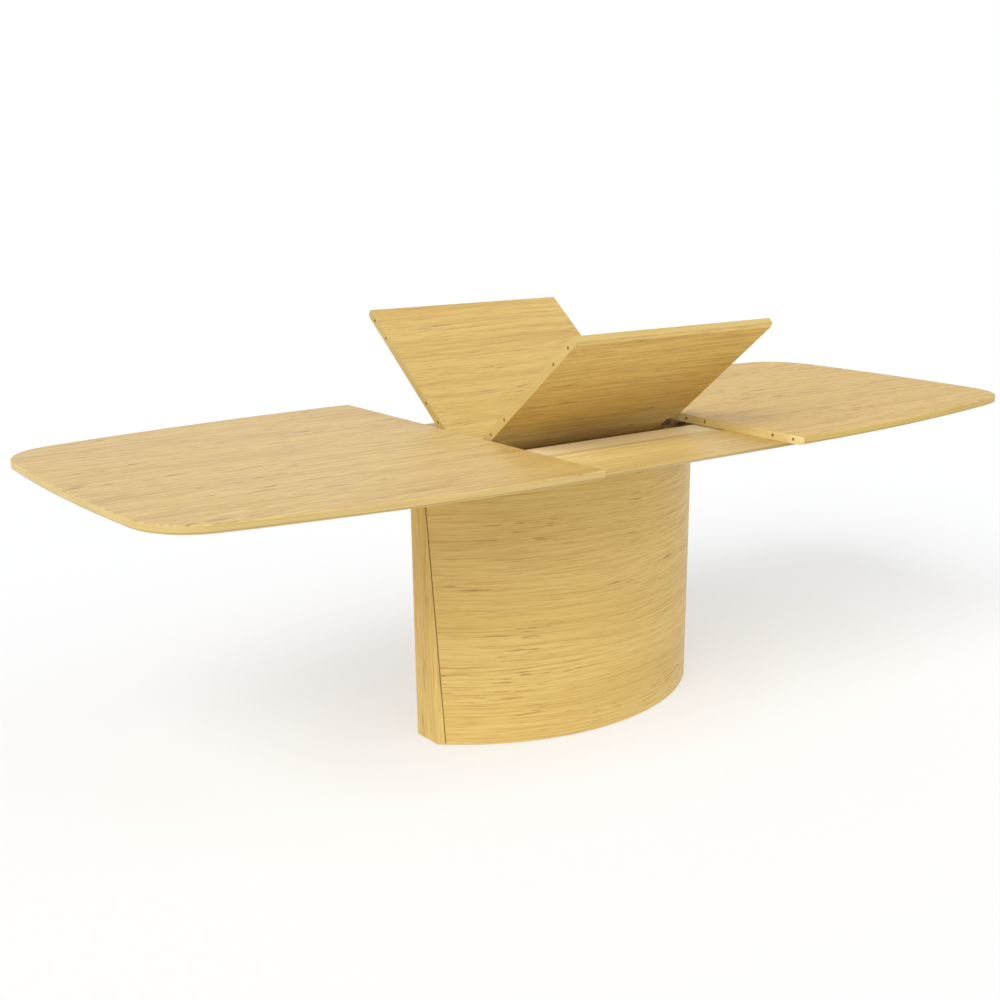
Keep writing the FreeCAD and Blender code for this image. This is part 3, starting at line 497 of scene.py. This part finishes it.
def dress_pieces():
    own = {**top_finishes(), **leaf_finishes(), **base_finishes()}
    shared = slot_finishes()
    slot_of = {part["node"]: part["material_slot"] for part in frame["record"]["subparts"]}
    for name, obj in nodes.items():
        material = own.get(name) or shared[slot_of[name]]
        if not obj.material_slots:
            obj.data.materials.append(material)
        for slot in obj.material_slots:
            slot.material = material


# ---- floor, light and camera --------------------------------------------------------------------
FLOOR_SIDE = 60.0
FLOOR_COLOUR = rgb(0.455, 0.465, 0.480)
FLOOR_GLOW_SEEN = 0.505             # emission in the picture
FLOOR_GLOW_ON_OBJECT = 0.69         # emission that lights the table
WORLD_COLOUR = rgb(1.0, 0.99, 0.975)
WORLD_STRENGTH = 0.48
WHITE = rgb(1.0, 1.0, 1.0)

SUN_COLOUR = (1.0, 0.985, 0.96)
Sun = namedtuple("Sun", "name direction angle strength")
SUNS = (
    Sun("key", (0.86, 0.42, -0.75), 42.0, 2.35),
    Sun("fill", (-0.20, 0.66, -0.75), 60.0, 0.50),
)

CAMERA_PLACE = Vector((-2.219247, -2.694620, 1.373753))
CAMERA_YAW = 0.640495
CAMERA_PITCH = 0.236214
CAMERA_ROLL = -0.001292
CAMERA_FOCUS = 1.418742             # focal length over the picture's width
CAMERA_SHIFT = (0.006952, 0.003932)
CAMERA_SENSOR = 36.0                # millimetres
CAMERA_REACH = 200.0


def stage_floor():
    """A pale floor whose own glow keeps it near white round the table."""
    bpy.ops.mesh.primitive_plane_add(size=FLOOR_SIDE, location=(0.0, 0.0, 0.0))
    floor = bpy.context.object
    floor.name = "floor"
    g = Graph("floor_white")
    seen = g.add("LightPath").outputs["Is Camera Ray"]
    glow = g.ramp(seen, 0.0, 1.0, FLOOR_GLOW_ON_OBJECT, FLOOR_GLOW_SEEN)
    g.surface("Emission Strength", glow)
    g.surface("Emission Color", WHITE)
    g.surface("Base Color", FLOOR_COLOUR)
    g.surface("Roughness", 0.9)
    g.surface("Specular IOR Level", 0.1)
    floor.data.materials.append(g.material)


def white_world():
    """Soft light on the table and plain white where the world itself is seen or mirrored."""
    world = bpy.data.worlds.new("studio")
    scene.world = world
    world.use_nodes = True
    tree = world.node_tree
    tree.nodes.clear()
    lit = tree.nodes.new("ShaderNodeBackground")
    lit.inputs["Color"].default_value = WORLD_COLOUR
    lit.inputs["Strength"].default_value = WORLD_STRENGTH
    plain = tree.nodes.new("ShaderNodeBackground")
    plain.inputs["Color"].default_value = WHITE
    path = tree.nodes.new("ShaderNodeLightPath")
    plain_share = path.outputs["Is Camera Ray"]
    for ray in ("Is Glossy Ray", "Is Transmission Ray"):
        either = tree.nodes.new("ShaderNodeMath")
        either.operation = "MAXIMUM"
        tree.links.new(plain_share, either.inputs[0])
        tree.links.new(path.outputs[ray], either.inputs[1])
        plain_share = either.outputs[0]
    pick = tree.nodes.new("ShaderNodeMixShader")
    for source, socket in zip((plain_share, lit.outputs[0], plain.outputs[0]), pick.inputs):
        tree.links.new(source, socket)
    out = tree.nodes.new("ShaderNodeOutputWorld")
    tree.links.new(pick.outputs[0], out.inputs["Surface"])


def add_sun(sun):
    light = bpy.data.lights.new(sun.name, "SUN")
    light.angle = math.radians(sun.angle)
    light.energy = sun.strength
    light.color = SUN_COLOUR
    obj = bpy.data.objects.new(sun.name, light)
    scene.collection.objects.link(obj)
    obj.rotation_mode = "QUATERNION"
    obj.rotation_quaternion = Vector(sun.direction).to_track_quat("-Z", "Y")


def photo_camera():
    ahead = Vector((
        math.sin(CAMERA_YAW) * math.cos(CAMERA_PITCH),
        math.cos(CAMERA_YAW) * math.cos(CAMERA_PITCH),
        -math.sin(CAMERA_PITCH),
    ))
    right = Vector((math.cos(CAMERA_YAW), -math.sin(CAMERA_YAW), 0.0))
    above = right.cross(ahead)
    level = Matrix((right, above, -ahead)).transposed()
    rolled = level @ Matrix.Rotation(CAMERA_ROLL, 3, "Z")
    data = bpy.data.cameras.new("camera")
    data.sensor_width = CAMERA_SENSOR
    data.lens = CAMERA_FOCUS * CAMERA_SENSOR
    data.shift_x, data.shift_y = CAMERA_SHIFT
    data.clip_end = CAMERA_REACH
    camera = bpy.data.objects.new("camera", data)
    scene.collection.objects.link(camera)
    camera.matrix_world = Matrix.Translation(CAMERA_PLACE) @ rolled.to_4x4()
    scene.camera = camera


dress_pieces()
stage_floor()
white_world()
for sun in SUNS:
    add_sun(sun)
photo_camera()
scene.view_settings.view_transform = "Standard"
